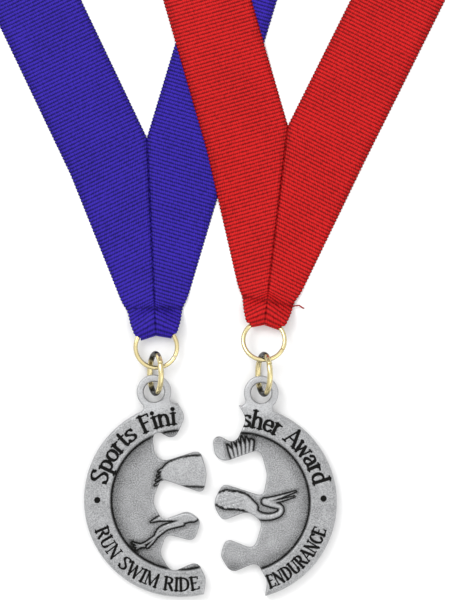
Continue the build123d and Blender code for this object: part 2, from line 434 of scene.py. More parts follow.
def strand_lines(colour):
    """Vertex, directions, outward normals and corners of a ribbon's two strands."""
    side = RIBBONS[colour]
    vertex = np.array(side["vertex"])
    ways = [heading(angle) for angle in side["angles"]]
    outward = [np.array([-ways[0][1], ways[0][0]]), np.array([ways[1][1], -ways[1][0]])]
    corners = [
        vertex + outward[i] * RIBBON_WIDTH / 2 + ways[i] * side["lengths"][i] for i in range(2)
    ]
    return vertex, ways, outward, corners


def off_strip(points, start, end):
    """Distance in plan from a straight strip of ribbon between two middle points."""
    along = unit(end - start)
    rel = points - start
    reach = rel @ along
    side = np.abs(rel @ np.array([-along[1], along[0]])) - RIBBON_WIDTH / 2
    over = np.maximum(-reach, reach - np.linalg.norm(end - start))
    return np.hypot(np.maximum(side, 0), np.maximum(over, 0))


def lies_on(points, start, end):
    """1 on a strip of ribbon, easing to 0 beside it."""
    return 1 - smooth(0, LAYER_SLOPE, off_strip(points, start, end))


def layers_below(colour, points, in_band):
    """How far the cloth under these points lifts them."""
    lift = np.zeros(len(points))
    if colour == "red":
        vertex, ways, outward, corners = strand_lines("blue")
        pendant = 26
        for i in range(2):
            start = vertex + outward[i] * RIBBON_WIDTH / 2 - ways[i] * pendant
            lift += 0.5 * lies_on(points, start, corners[i])
        lift += 0.5 * lies_on(points, corners[0], corners[1])
        lift = np.minimum(lift, 1.0)
    if in_band.any():
        vertex, ways, outward, corners = strand_lines(colour)
        own = np.zeros(len(points))
        for i in range(2):
            start = vertex + outward[i] * RIBBON_WIDTH / 2
            own = np.maximum(own, lies_on(points, start, corners[i]))
        lift -= 2 * FOLD_ROLL * (1 - own) * in_band
    return lift


def front_height(side, s):
    """Middle height of the front layer, by distance from the fold."""
    down = smooth(2.8, SLEEVE_END - 0.3, s)
    ease = smooth(SLEEVE_END + 1.0, SLEEVE_END + 7, s)
    return side["sleeve_z"] * (1 - down) + OVER_TAIL * down - (OVER_TAIL - UNDER_RING) * ease


def row_height(side, x):
    """Where the stitch row lies across the pendant, which isn't quite square on the red one."""
    return side["row"][1] + side["row_slope"] * (x - side["row"][0])


def strip_edges(colour, hand):
    """A half ribbon's edges by distance from the fold, its sewn length and its whole length."""
    side = RIBBONS[colour]
    vertex, ways, outwards, corners = strand_lines(colour)
    way, outward, corner = ways[hand], outwards[hand], corners[hand]
    foot, seam_foot = np.array(side["feet"][hand]), np.array(side["middle"])
    shoulder = vertex + outward * RIBBON_WIDTH
    seam = vertex - seam_foot
    sewn = np.linalg.norm(shoulder - foot)
    # From the shoulder on, the strip's middle runs to the corner and then half the band.
    run = (corner - vertex - outward * RIBBON_WIDTH / 2) @ way
    length = sewn + run + np.linalg.norm(corners[1] - corners[0]) / 2

    def outer_edge(s):
        low = foot + (shoulder - foot) * np.minimum(s / sewn, 1)[:, None]
        return low + way * np.maximum(s - sewn, 0)[:, None]

    def seam_hit(s):
        matrix = np.array([seam, outward]).T
        return np.linalg.solve(matrix, (outer_edge(s) - seam_foot).T)[0] * np.linalg.norm(seam)

    def inner_edge(s):
        share = np.clip(s, 0, SLEEVE_END) / SLEEVE_END
        at = seam_hit(s) - seam_hit(np.zeros(1)) * (1 - share) ** 2
        at += 1.3 * np.sin(np.pi * share)
        on_seam = seam_foot + seam * (at / np.linalg.norm(seam))[:, None]
        free = outer_edge(s) - outward * RIBBON_WIDTH
        return np.where((s < sewn)[:, None], on_seam, free)

    return inner_edge, outer_edge, sewn, length


def strip_rows(roll, length):
    """Rows along the strip: distance from the fold, turn round the ring, way along the cloth."""
    step = RIB_PITCH / ROWS_PER_RIB
    under = np.arange(TAIL_END, roll, -step)
    turns = np.linspace(np.pi, 0, int(np.pi * roll / step) + 1)[1:-1]
    front = np.append(np.arange(roll, length, step), length)
    s = np.concatenate([under, np.full(len(turns), roll), front])
    phi = np.concatenate([np.full(len(under), np.pi), turns, np.zeros(len(front))])
    path = np.concatenate([-(under - roll) - np.pi * roll, -turns * roll, front - roll])
    return s, phi, path


def ribbed_edges(edges, outward, roll, s, phi, rib):
    """Both edges in plan, round the sleeve's fold, with the ribs' ends standing out."""
    inner_edge, outer_edge, sewn, _ = edges
    bow = np.sin(phi)[:, None]
    plan = []
    for edge in (inner_edge, outer_edge):
        rolled = edge(np.full(len(s), roll)) * (1 - bow) + edge(np.zeros(len(s))) * bow
        plan.append(np.where(bow > 0, rolled, edge(s)))
    inner, outer = plan
    outer = inner + (outer - inner) * (1 - SLEEVE_NARROWING * smooth(0.0, 0.9, phi)[:, None])
    waist = 0.45 * np.exp(-((s - SLEEVE_END) / 2.2) ** 2) * (phi < 0.1)
    outer = outer - outward * waist[:, None]
    sideways = unit_rows(outer - inner)
    wave = 0.24 * (rib - 0.5)[:, None]
    outer = outer + sideways * wave
    inner = np.where((s > sewn)[:, None], inner - sideways * wave, inner)
    return inner, outer


def relaxed_height(side, hand, s, phi, roll, sewn, width, x, y):
    """Middle height of the cloth: round the ring, puffed beside its seam, pinched at the row."""
    middle = np.where(phi > 0, UNDER_RING + roll + roll * np.cos(phi), front_height(side, s))
    middle = np.where(phi >= np.pi, UNDER_RING, middle)
    on_front = (phi < 0.1)[:, None]
    from_seam = COLUMNS[None, :] * width[:, None]
    seam_part = (s < sewn)[:, None] * on_front * smooth(sewn, sewn - 14, s)[:, None]
    puff = 0.32 * np.exp(-(from_seam / 5.5) ** 2) - 0.26 * np.exp(-(from_seam / 0.45) ** 2)
    off_row = y - row_height(side, x)
    pinch = np.exp(-(off_row / 0.42) ** 2)
    pucker = np.exp(-(off_row / 1.9) ** 2) * np.cos(2 * np.pi * x / 2.6 + 0.7)
    # Slow unevenness of cloth that has been handled.
    slack = 0.16 * np.sin(s / 13.0 + hand * 2)[:, None] * np.sin(COLUMNS * 3.1 + 0.6)[None, :]
    slack = smooth(20, 45, s)[:, None] * on_front * np.abs(slack)
    return middle[:, None] + seam_part * puff + on_front * (0.17 * pucker - 0.34 * pinch) + slack


def neck_fold(points, height, corner, away):
    """Roll the cloth past the crease up and back over itself; also gives each point's turn."""
    rows, count = height.shape
    beyond = ((points.reshape(-1, 2) - corner) @ away).reshape(rows, count)
    turn = np.clip((beyond + np.pi * FOLD_ROLL / 2) / FOLD_ROLL, 0, np.pi)
    crest = FOLD_ROLL * np.sin(turn) - np.pi * FOLD_ROLL / 2
    folded = np.where(turn >= np.pi, -beyond, crest)
    folded = np.where(turn <= 0, beyond, folded)
    points = points + away * (folded - beyond)[..., None]
    return points, height + FOLD_ROLL * (1 - np.cos(turn)), turn


def cloth_normals(phi, turn, away, downward):
    """The cloth's own upward direction, which turns over in the sleeve and the neck fold."""
    normal = np.zeros((*turn.shape, 3))
    normal[..., 2] = np.cos(phi)[:, None] * np.cos(turn)
    normal[..., :2] = -away * np.sin(turn)[..., None]
    normal[..., :2] += downward * (np.sin(phi)[:, None] * (turn <= 0))[..., None]
    return normal


def crease_side(way, band):
    """Plan direction across the neck fold's crease, towards the cloth that folds back."""
    crease = unit(way + band)
    away = np.array([-crease[1], crease[0]])
    return away if away @ way >= 0 else -away


def half_strip(colour, hand):
    """One half of a ribbon, from its tail under the sleeve to the middle of the neck band."""
    side = RIBBONS[colour]
    vertex, ways, outwards, corners = strand_lines(colour)
    way, outward, corner = ways[hand], outwards[hand], corners[hand]
    edges = strip_edges(colour, hand)
    sewn, length = edges[2:]
    roll = (side["sleeve_z"] - UNDER_RING) / 2
    s, phi, path = strip_rows(roll, length)
    rib = np.abs(np.sin(np.pi * path / RIB_PITCH))
    inner, outer = ribbed_edges(edges, outward, roll, s, phi, rib)
    width = np.linalg.norm(outer - inner, axis=1)
    points = inner[:, None, :] + (outer - inner)[:, None, :] * COLUMNS[None, :, None]
    rows, count = points.shape[:2]
    x, y = points[..., 0], points[..., 1]
    height = relaxed_height(side, hand, s, phi, roll, sewn, width, x, y)

    away = crease_side(way, unit(corners[1 - hand] - corner))
    points, height, turn = neck_fold(points, height, corner, away)
    in_band = (turn >= np.pi).ravel().astype(float)
    height += layers_below(colour, points.reshape(-1, 2), in_band).reshape(rows, count)

    downward = unit(np.array(side["feet"][hand]) - vertex - outward * RIBBON_WIDTH)
    body = CLOTH / 2 * (0.62 + 0.46 * rib)[:, None]
    body = body * np.where(np.isin(COLUMNS, SELVEDGE_RIDGES), 1.1, 1.0)[None, :]
    lift = cloth_normals(phi, turn, away, downward) * (body * SIDE_OF_CLOTH)[..., None]
    solid = np.dstack([points, height]) + lift

    # Painted shade: the grooves between ribs are darkened, and more so along the stitch row's
    # tucks.
    tucks = 0.55 + 0.45 * np.cos(2 * np.pi * x / 1.75)
    row_shade = 0.75 * np.exp(-((y - row_height(side, x)) / 0.55) ** 2) * tucks
    painted_groove_shade = (1 - rib)[:, None] + (phi < 0.1)[:, None] * row_shade
    ribs = np.repeat(path[:, None], count, 1) / RIB_PITCH + 0.5
    threads = COLUMNS[None, :] * width[:, None] / THREAD_PITCH
    weave = np.dstack([threads, ribs, np.zeros((rows, count))])
    at_edge = (np.minimum(COLUMNS, 1 - COLUMNS) < 0.03).astype(float)
    return solid, painted_groove_shade, weave, np.repeat(at_edge[None, :], rows, axis=0)


def make_ribbon(colour, material):
    """The whole ribbon as one strip of woven cloth, closed all round."""
    left, right = half_strip(colour, 0), half_strip(colour, 1)
    joined = [np.concatenate([a, b[::-1][1:]]) for a, b in zip(left, right)]
    solid, painted_groove_shade, weave, selvedge = joined
    faces = shell_faces(*solid.shape[:2])
    piece = new_piece(f"{colour}_grosgrain_ribbon", solid.reshape(-1, 3), faces, material)
    set_attribute(piece, "painted_groove_shade", painted_groove_shade)
    set_attribute(piece, "selvedge", selvedge)
    set_attribute(piece, "weave", weave, "FLOAT_VECTOR", "vector")
    return piece


# ---------------------------------------------------------------- stitches

STITCHES_IN_ROW = 8


def tube(points, radii, around=8):
    """Rings of points and faces of a round tube along a line, closed at both ends."""
    points = np.array(points, float)
    verts = []
    for i, spot in enumerate(points):
        along = unit(points[min(i + 1, len(points) - 1)] - points[max(i - 1, 0)])
        side = unit(np.cross(along, (0, 0, 1)))
        up = np.cross(side, along)
        for j in range(around):
            a = 2 * math.pi * j / around
            verts.append(spot + radii[i] * (math.cos(a) * side + math.sin(a) * up))
    return verts, shell_faces(len(points), around)


def gather(parts):
    verts, faces = [], []
    for some, their in parts:
        base = len(verts)
        verts += list(some)
        faces += [tuple(base + i for i in face) for face in their]
    return verts, faces


def stitch(start, end, rise, thickness):
    """A short stitch that comes up out of the cloth and dives back in."""
    start, end = np.array(start, float), np.array(end, float)
    points, radii = [], []
    for t in np.linspace(0, 1, 9):
        lift = rise * math.sin(math.pi * t) ** 0.6 - 0.12
        points.append(start + (end - start) * t + np.array([0, 0, lift]))
        radii.append(thickness / 2 * (0.55 + 0.45 * math.sin(math.pi * t) ** 0.5))
    return tube(points, radii)


def on_cloth(ribbon, spot):
    """A plan spot put on the top of the ribbon's cloth."""
    x, y = (np.array(spot) + ORIGIN) * MM
    hit, place, _, _ = ribbon.ray_cast((x, y, 0.05), (0, 0, -1))
    return np.array([spot[0], spot[1], place.z / MM if hit else CLOTH])


def seam_stitches(colour, ribbon, material):
    """The long machine stitches down the mitred seam, from the vertex to the sleeve."""
    side = RIBBONS[colour]
    top, low = np.array(side["vertex"]), np.array(side["middle"])
    way = unit(low - top)
    reach = np.linalg.norm(low - top) - SLEEVE_END - 2.5
    parts = []
    for at in np.arange(1.2, reach, 2.6):
        ends = [on_cloth(ribbon, top + way * (at + step)) for step in (0, 1.6)]
        parts.append(stitch(*ends, 0.14, 0.24))
    return new_piece(f"{colour}_seam_stitches", *gather(parts), material)


def loose_end(x, y):
    """The cut thread that sticks out beside the red pendant."""
    line = curve_through([
        (x - 0.7, y + 0.1, 0.95), (x + 0.3, y + 0.1, 0.95), (x + 1.0, y + 0.2, 0.6),
        (x + 1.5, y - 0.1, 0.4), (x + 2.0, y - 0.45, 0.3), (x + 2.4, y - 0.5, 0.25),
    ])
    return tube(line, [0.17] * len(line))


def sleeve_row(colour, ribbon, material):
    """The row of stitches that closes the sleeve over its ring."""
    side = RIBBONS[colour]
    middle, half = side["row"][0], side["row_half"]
    step = 2 * half / STITCHES_IN_ROW
    parts = []
    for i in range(STITCHES_IN_ROW):
        x = middle - half + step * i + 0.15
        lean = 0.12 * math.sin(i * 2.1)
        last = x + step - 0.35
        ends = [(x, row_height(side, x) + lean), (last, row_height(side, last) - lean)]
        parts.append(stitch(*(on_cloth(ribbon, end) for end in ends), 0.24, 0.3))
    if colour == "red":
        parts.append(loose_end(middle + half, row_height(side, middle + half)))
    return new_piece(f"{colour}_sleeve_row", *gather(parts), material)


# ---------------------------------------------------------------- rings

RING_TURNS, WIRE_POINTS = 220, 28
GAP_WIDTH = 0.12
END_CHAMFER = 0.12


def split_ring(name, radius, wire, gap, place, painted_dark_ends, material):
    """A ring of round wire, not quite closed, with its two ends a little out of line."""
    turn = place.to_3x3()
    gap_half = GAP_WIDTH / 2 / radius
    verts, shade = [], []
    for i in range(RING_TURNS + 1):
        t = i / RING_TURNS
        a = math.radians(gap) + gap_half + (2 * math.pi - 2 * gap_half) * t
        shift = 0.07 * (t - 0.5) * abs(2 * t - 1) ** 2
        from_end = min(t, 1 - t) * 2 * math.pi * radius
        slim = wire * (1 - 0.12 * max(0.0, 1 - from_end / END_CHAMFER))
        end_on = smooth(0.6, 0.8, abs(math.sin(a))) * smooth(-0.6, -0.3, math.cos(a))
        for j in range(WIRE_POINTS):
            b = 2 * math.pi * j / WIRE_POINTS
            r = radius + slim * math.cos(b)
            spot = (r * math.cos(a), r * math.sin(a), slim * math.sin(b) + shift)
            verts.append(tuple(place @ Vector(spot)))
            out = (math.cos(a) * math.cos(b), math.sin(a) * math.cos(b), math.sin(b))
            # Painted shade darkens the wire where it faces down, and painted dark reflection
            # blackens a jump ring's ends.
            painted_underside_shade = 1 - smooth(0.2, 0.62, (turn @ Vector(out)).z)
            shade.append(float(0.62 * painted_underside_shade + painted_dark_ends * end_on))
    faces = shell_faces(RING_TURNS + 1, WIRE_POINTS)
    ring = new_piece(name, np.array(verts), faces, material)
    set_attribute(ring, "painted_shade_and_reflection", np.clip(shade, 0, 1))
    return ring


def ribbon_ring_place(at, hinge_z, radius):
    tilt = math.asin((at[2] - hinge_z) / (2 * radius))
    centre = (at[0], at[1] + radius * math.cos(tilt), (at[2] + hinge_z) / 2)
    return Matrix.Translation(centre) @ Matrix.Rotation(-tilt, 4, "X")


def jump_ring_place(at):
    return Matrix.Translation(at) @ Matrix.Rotation(math.radians(JUMP_TURN), 4, "Y")


# ---------------------------------------------------------------- medal outline

OUTLINE_STEP = 0.16
GRID_STEP = 0.155
OFFSET_ROWS = (0.07, 0.18, 0.33, 0.5)


def arc(centre, start, end, way=0):
    """Points on an arc between two spots; way 1 forces counterclockwise, 0 the short side."""
    centre, start, end = (np.asarray(p, float) for p in (centre, start, end))
    radius = np.linalg.norm(start - centre)
    a0 = math.atan2(*(start - centre)[::-1])
    span = (math.atan2(*(end - centre)[::-1]) - a0) % (2 * math.pi)
    if not way and span > math.pi:
        span -= 2 * math.pi
    count = max(3, int(abs(span) * radius / OUTLINE_STEP))
    turns = a0 + span * np.linspace(0, 1, count + 1)
    return centre + radius * np.stack([np.cos(turns), np.sin(turns)], 1)


def rounded(corners, radii):
    """A line through corners with its inner corners rounded."""
    corners = [np.array(c, float) for c in corners]
    out = [corners[0]]
    for before, corner, after, radius in zip(corners, corners[1:], corners[2:], radii):
        back, ahead = unit(before - corner), unit(after - corner)
        half = math.acos(np.clip(back @ ahead, -1, 1)) / 2
        centre = corner + unit(back + ahead) * radius / math.sin(half)
        reach = radius / math.tan(half)
        out += list(arc(centre, corner + back * reach, corner + ahead * reach))
    out.append(corners[-1])
    return np.array(out)


def resample(line, step, closed=True):
    if closed:
        line = np.vstack([line, line[:1]])
    lengths = np.concatenate([[0], np.cumsum(np.linalg.norm(np.diff(line, axis=0), axis=1))])
    count = int(lengths[-1] / step)
    at = np.linspace(0, lengths[-1], count + 1)[:-1 if closed else None]
    return np.stack([np.interp(at, lengths, line[:, k]) for k in (0, 1)], 1)


def on_circle(radius, degrees):
    turn = math.radians(degrees)
    return radius * np.array([math.cos(turn), math.sin(turn)])


def medal_outline(hand, loop_angle):
    """Outline of a half and of its loop's hole, about the half's own centre."""
    line = rounded([row[hand] for row in CUT_LINE], [row[2] for row in CUT_LINE[1:-1]])
    line = resample(line, 0.05, closed=False)
    bell = np.exp(-np.linspace(-2.2, 2.2, 61) ** 2)
    padded = np.vstack([line[:1].repeat(30, 0), line, line[-1:].repeat(30, 0)])
    line = np.stack([np.convolve(padded[:, k], bell / bell.sum(), "valid") for k in (0, 1)], 1)
    cut = line[np.linalg.norm(line, axis=1) <= MEDAL_RADIUS]
    top, bottom = (MEDAL_RADIUS * unit(p) for p in (cut[0], cut[-1]))
    loop = on_circle(LOOP_DISTANCE, loop_angle)
    blend_at, loop_at = MEDAL_RADIUS + NECK_BLEND, LOOP_OUTER + NECK_BLEND
    lean = math.degrees(math.acos(
        (blend_at ** 2 + LOOP_DISTANCE ** 2 - loop_at ** 2) / (2 * blend_at * LOOP_DISTANCE)
    ))
    first, second = (on_circle(blend_at, loop_angle + s * lean) for s in (-1, 1))
    rim = [f * MEDAL_RADIUS / blend_at for f in (first, second)]
    touch = [loop + (f - loop) * LOOP_OUTER / loop_at for f in (first, second)]
    detour = np.vstack([
        arc(first, rim[0], touch[0]), arc(loop, touch[0], touch[1], 1),
        arc(second, touch[1], rim[1]),
    ])
    if hand == 0:
        path = [arc((0, 0), top, rim[0]), detour, arc((0, 0), rim[1], bottom, 1), cut[::-1]]
    else:
        path = [arc((0, 0), bottom, rim[0], 1), detour, arc((0, 0), rim[1], top), cut]
    outline = resample(np.vstack(path), OUTLINE_STEP)
    around = np.linspace(0, 2 * math.pi, int(2 * math.pi * LOOP_HOLE / OUTLINE_STEP) + 1)[:-1]
    hole = loop + LOOP_HOLE * np.stack([np.cos(-around), np.sin(-around)], 1)
    return outline, hole, loop


def inward(loop):
    """Unit normals to the left of a closed line, which is the metal's side."""
    ahead = np.roll(loop, -2, 0) - np.roll(loop, 2, 0)
    return unit_rows(np.stack([-ahead[:, 1], ahead[:, 0]], 1))


def inside(points, loops):
    """Which points lie inside the outline and outside its hole."""
    odd = np.zeros(len(points), bool)
    x, y = points[:, 0], points[:, 1]
    for loop in loops:
        for (x0, y0), (x1, y1) in zip(loop, np.roll(loop, -1, 0)):
            if y0 == y1:
                continue
            crosses = (y0 > y) != (y1 > y)
            odd ^= crosses & (x < x0 + (y - y0) * (x1 - x0) / (y1 - y0))
    return odd


def triangulate(loops, extra):
    """Triangles between closed lines and extra points; returns points and triangles."""
    points = np.vstack(list(loops) + [extra])
    edges, base = [], 0
    for loop in loops:
        n = len(loop)
        edges += [(base + i, base + (i + 1) % n) for i in range(n)]
        base += n
    made = delaunay_2d_cdt([Vector(p) for p in points.tolist()], edges, [], 0, 1e-7)
    verts = np.array([tuple(v) for v in made[0]])
    source = np.array([orig[0] if orig else -1 for orig in made[3]])
    faces = np.array(made[2])
    on_line = (source >= 0) & (source < base)
    unsure = on_line[faces].all(1)
    keep = ~unsure
    keep[unsure] = inside(verts[faces[unsure]].mean(1), loops)
    order = np.full(len(points), -1)
    order[source[source >= 0]] = np.flatnonzero(source >= 0)
    return verts, faces[keep], order


# ---------------------------------------------------------------- lettering

THICK, THIN = 0.20, 0.10


def stroke_maker(kind):
    """A function that turns x, y, x, y, ... into one stroke of this kind."""
    return lambda *xy: (kind, tuple(zip(xy[::2], xy[1::2])))


thin, thick, curve, dot = map(stroke_maker, ("thin", "thick", "curve", "dot"))


def stem(x, low=0.0, high=1.0, feet=(1, 1)):
    """An upright with small serifs at its chosen ends."""
    made = [thick(x, low, x, high)]
    for there, y in zip(feet, (low, high)):
        if there:
            made.append(thin(x - 0.12, y, x + 0.12, y))
    return made


ARCH = [curve(.12, .46, .26, .64, .42, .6, .48, .42)] + stem(.48, 0, .44, (1, 0))
BARS = [thin(.14, .97, .54, .97), thin(.54, .97, .54, .82), thin(.14, .53, .42, .53)]
S_SHAPE = (.50, .84, .42, .97, .28, 1, .12, .9, .10, .74, .22, .6, .38, .46, .50, .3, .46, .1,
           .28, 0, .14, .04, .06, .18)
SMALL_S = tuple(n * (0.8, 0.66)[i % 2] for i, n in enumerate(S_SHAPE))
# Advance and strokes of plain serif letters whose capitals are 1 high.
GLYPHS = {
    "S": (.62, [curve(*S_SHAPE), thin(.5, .84, .52, .98), thin(.06, .18, .05, .02)]),
    "F": (.60, stem(.14) + BARS),
    "E": (.62, stem(.14) + BARS + [thin(.14, .03, .56, .03), thin(.56, .03, .57, .2)]),
    "A": (.74, [thin(.06, 0, .35, 1), thick(.35, 1, .65, 0), thin(.16, .34, .54, .34),
        thin(-.03, 0, .15, 0), thin(.54, 0, .76, 0)]),
    "R": (.70, stem(.14) + [curve(.14, .98, .36, .98, .5, .88, .52, .75, .48, .6, .34, .52, .14,
        .52), thick(.34, .52, .6, .02)]),
    "U": (.74, stem(.14, .28, 1, (0, 1)) + [curve(.14, .3, .2, .07, .36, 0, .52, .07, .58, .3),
        thin(.58, .3, .58, 1), thin(.48, 1, .68, 1)]),
    "N": (.78, [thin(.12, 0, .12, 1), thick(.12, 1, .62, 0), thin(.62, 0, .62, 1),
        thin(.02, 0, .22, 0), thin(.52, 1, .72, 1)]),
    "W": (1.0, [thick(.08, 1, .28, 0), thin(.28, 0, .47, .9), thick(.47, .9, .68, 0),
        thin(.68, 0, .88, 1), thin(-.02, 1, .18, 1), thin(.78, 1, .98, 1)]),
    "I": (.30, stem(.15)),
    "M": (.92, [thin(.12, 0, .14, 1), thick(.14, 1, .45, .08), thin(.45, .08, .77, 1),
        thick(.78, 1, .80, 0), thin(.02, 0, .22, 0), thin(.7, 0, .9, 0)]),
    "D": (.74, stem(.14) + [curve(.14, .98, .36, .97, .56, .8, .62, .5, .56, .2, .36, .03, .14,
        .02)]),
    "C": (.68, [curve(.58, .8, .46, .96, .3, .98, .14, .8, .08, .5, .14, .2, .3, .02, .46, .03,
        .6, .2), thin(.58, .8, .59, .97)]),
    "p": (.60, stem(.13, -.28, .66) + [curve(.13, .56, .28, .66, .44, .56, .5, .33, .44, .1, .28,
        0, .13, .1)]),
    "d": (.60, stem(.46) + [curve(.46, .56, .3, .66, .13, .56, .07, .33, .13, .1, .3, 0, .46,
        .1)]),
    "o": (.56, [curve(.28, .66, .12, .56, .07, .33, .12, .1, .28, 0, .44, .1, .49, .33, .44, .56,
        .28, .66)]),
    "e": (.54, [thin(.09, .36, .47, .36), curve(.47, .36, .43, .58, .28, .66, .12, .56, .07, .33,
        .12, .1, .3, 0, .47, .12)]),
    "r": (.46, stem(.13, 0, .66) + [curve(.13, .46, .24, .62, .38, .62)]),
    "t": (.38, [thick(.16, .86, .16, .16), thin(.02, .64, .33, .64), curve(.16, .16, .21, .02,
        .35, .06)]),
    "s": (.50, [curve(*SMALL_S), thin(.4, .55, .41, .65), thin(.05, .12, .04, .01)]),
    "i": (.30, stem(.14, 0, .66) + [dot(.14, .9, .14, .91)]),
    "n": (.64, stem(.12, 0, .66) + ARCH),
    "h": (.64, stem(.12) + ARCH),
    "w": (.80, [thick(.06, .66, .22, 0), thin(.22, 0, .37, .58), thick(.37, .58, .55, 0),
        thin(.55, 0, .7, .66), thin(-.02, .66, .14, .66), thin(.62, .66, .78, .66)]),
    "a": (.56, [curve(.10, .5, .22, .65, .38, .6, .43, .44), thick(.43, .46, .43, .06),
        thin(.43, .04, .53, .02), curve(.43, .38, .2, .32, .07, .17, .14, .02, .28, 0, .43,
        .12)]),
    " ": (.36, []),
}


def arc_text(words, start, end, baseline, cap, tops_out):
    """Strokes of a line of lettering along an arc, as (point, point, radius, radius)."""
    advances = [GLYPHS[letter][0] for letter in words]
    spread = math.radians(abs(end - start)) * (baseline + (cap / 2 if tops_out else -cap / 2))
    wide = min(1.3, spread / (sum(advances) * cap))
    pen, strokes = 0.0, []
    for letter, advance in zip(words, advances):
        share = (pen + advance / 2) / sum(advances)
        pen += advance
        turn = math.radians(start + (end - start) * share)
        outward = np.array([math.cos(turn), math.sin(turn)])
        right = np.array([outward[1], -outward[0]])
        foot = outward * baseline
        if not tops_out:
            outward, right = -outward, -right
        for kind, points in GLYPHS[letter][1]:
            line = curve_through(points, 4) if kind == "curve" else np.array(points, float)
            for a, b in zip(line, line[1:]):
                dx, dy = b - a
                weight = THICK if kind == "thick" else THIN
                if kind == "curve":
                    steep = abs(dy) / math.hypot(dx * wide, dy)
                    weight = THIN + (THICK - THIN) * steep ** 1.5
                if kind == "dot":
                    weight = THICK * 1.25
                ends = [
                    foot + cap * (right * (p[0] - advance / 2) * wide + outward * p[1])
                    for p in (a, b)
                ]
                strokes.append((*ends, weight * cap / 2, weight * cap / 2))
    return strokes


def stroke_depth(points, strokes):
    """How far each point is inside the nearest stroke; negative outside."""
    depth = np.full(len(points), -9.0)
    for a, b, wide_a, wide_b in strokes:
        reach = max(wide_a, wide_b) + 0.8
        low, high = np.minimum(a, b) - reach, np.maximum(a, b) + reach
        near = np.flatnonzero(((points > low) & (points < high)).all(1))
        rel, along = points[near] - a, b - a
        t = np.clip(rel @ along / max(along @ along, 1e-9), 0, 1)
        away = np.linalg.norm(rel - t[:, None] * along, axis=1)
        depth[near] = np.maximum(depth[near], wide_a + (wide_b - wide_a) * t - away)
    return depth


# ---------------------------------------------------------------- relief

FOOT_BLUR = 0.06  # how far a raised stroke's foot spreads


def brush(points, widths, per_span=5):
    """A tapering stroke along a smooth line, as (point, point, radius, radius)."""
    line = curve_through(points, per_span)
    spots = np.linspace(0, 1, len(line))
    wide = np.interp(spots, np.linspace(0, 1, len(widths)), widths)
    return [(line[i], line[i + 1], wide[i], wide[i + 1]) for i in range(len(line) - 1)]


def left_bird():
    """Wing, tail, trailing legs and toes, as (strokes, height)."""
    wing = brush([(-3.6, 6.7), (-1.5, 7.0), (1.6, 7.5), (5.2, 7.6)], (1.9, 3.4, 3.9, 4.1))
    tail = brush([(3.2, -4.4), (-1.2, -4.4), (-5.0, -4.7), (-7.8, -5.7)],
                 (1.3, 1.15, 0.75, 0.12))
    fine = [
        brush([(-2.4 - 0.3 * i, 4.6 + 0.75 * i), (-4.6, 4.9 + i), (-6.8 + 0.3 * i, 3.9 + 1.2 * i)],
              (0.42, 0.4, 0.14)) for i in range(4)
    ]
    fine += [
        brush([(3.0, -4.6), (-1.0, -6.0), (-5.4, -7.6), (-7.0, -10.4), (-8.8, -12.3)],
              (0.9, 0.6, 0.5, 0.34, 0.3)),
        brush([(0.4, -6.2), (-3.6, -7.4), (-6.6, -9.6), (-9.0, -11.2), (-10.8, -12.0)],
              (0.55, 0.42, 0.42, 0.34, 0.3)),
    ]
    fine += [
        brush([(-9.6 - 0.5 * i, -12.0), (-11.4, -11.7 - 0.45 * i),
               (-12.6 + 0.4 * i, -11.2 - 0.9 * i)], (0.42, 0.34, 0.18)) for i in range(3)
    ]
    return [(wing, 0.7), (tail, 0.6)] + [(part, 0.55) for part in fine]


def right_bird():
    """Body, bent neck, beak and the fan of the raised wing's feathers, as (strokes, height)."""
    body = brush([(-6.4, 0.9), (-3.4, 0.7), (0.2, 0.3), (3.2, -1.4)], (1.3, 2.5, 2.3, 1.5))
    neck = brush([(2.4, -1.2), (4.6, -3.3), (7.6, -3.8), (10.3, -2.9), (10.6, -1.3),
                  (8.4, -0.5), (6.6, 0.2)], (1.35, 1.0, 0.8, 0.72, 0.66, 0.8, 0.95))
    fine = [
        brush([(-1.9 + 0.95 * i, 11.7 + 0.3 * i), (-2.5 + 1.12 * i, 13.6 + 0.45 * i),
               (-3.3 + 1.22 * i, 15.1 + 2.2 * math.sin(0.5 * i))], (0.5, 0.56, 0.06))
        for i in range(6)
    ]
    fine += [
        brush([(7.0, 0.5), (10.6, 1.5), (14.6, 2.9)], (0.62, 0.42, 0.1)),
        brush([(7.0, -0.1), (10.6, 0.5), (14.2, 1.5)], (0.45, 0.3, 0.08)),
    ]
    return [(body, 0.75), (neck, 0.75)] + [(part, 0.55) for part in fine]


def relief(points, hand):
    """Raised height of a half of the flying bird, how dark it is there, and depth inside it."""
    height, halo = np.zeros(len(points)), np.full(len(points), -9.0)
    for strokes, top in (left_bird, right_bird)[hand]():
        depth = stroke_depth(points, strokes)
        dome = np.clip(depth / max(s[2] for s in strokes), 0, 1)
        rise = smooth(-FOOT_BLUR, 0.2, depth) * 0.45 + 0.55 * np.sqrt(1 - (1 - dome) ** 2)
        height = np.maximum(height, top * rise * (depth > -FOOT_BLUR))
        halo = np.maximum(halo, depth)
    x, y = points[:, 0], points[:, 1]
    on_body = smooth(-6.6, -5.6, x) * (1 - smooth(0.2, 1.8, x)) * (np.abs(y - 0.6) < 2.9)
    hatch = np.abs(np.sin(2.4 * (x + 0.55 * y))) * np.abs(np.sin(2.9 * (y - 0.25 * x)))
    cuts = on_body * (height > 0.3) * smooth(0.35, 0.75, 1 - hatch) * 0.16
    on_wing = (x < 6.5) * (x > -6) * (np.abs(y - 7.4) < 4.2) * (height > 0.3)
    ripple = on_wing * (0.5 + 0.5 * np.sin(1.9 * x + 0.9 * np.sin(0.9 * y))) * 0.07
    dark = 0.62 * np.exp(-((halo + 0.12) / 0.2) ** 2) + 0.2 * np.exp(-((halo + 0.3) / 1.0) ** 2)
    dark += cuts * 9 + ripple * 2.6
    return height - cuts - ripple, dark, halo


# ---------------------------------------------------------------- medal mesh

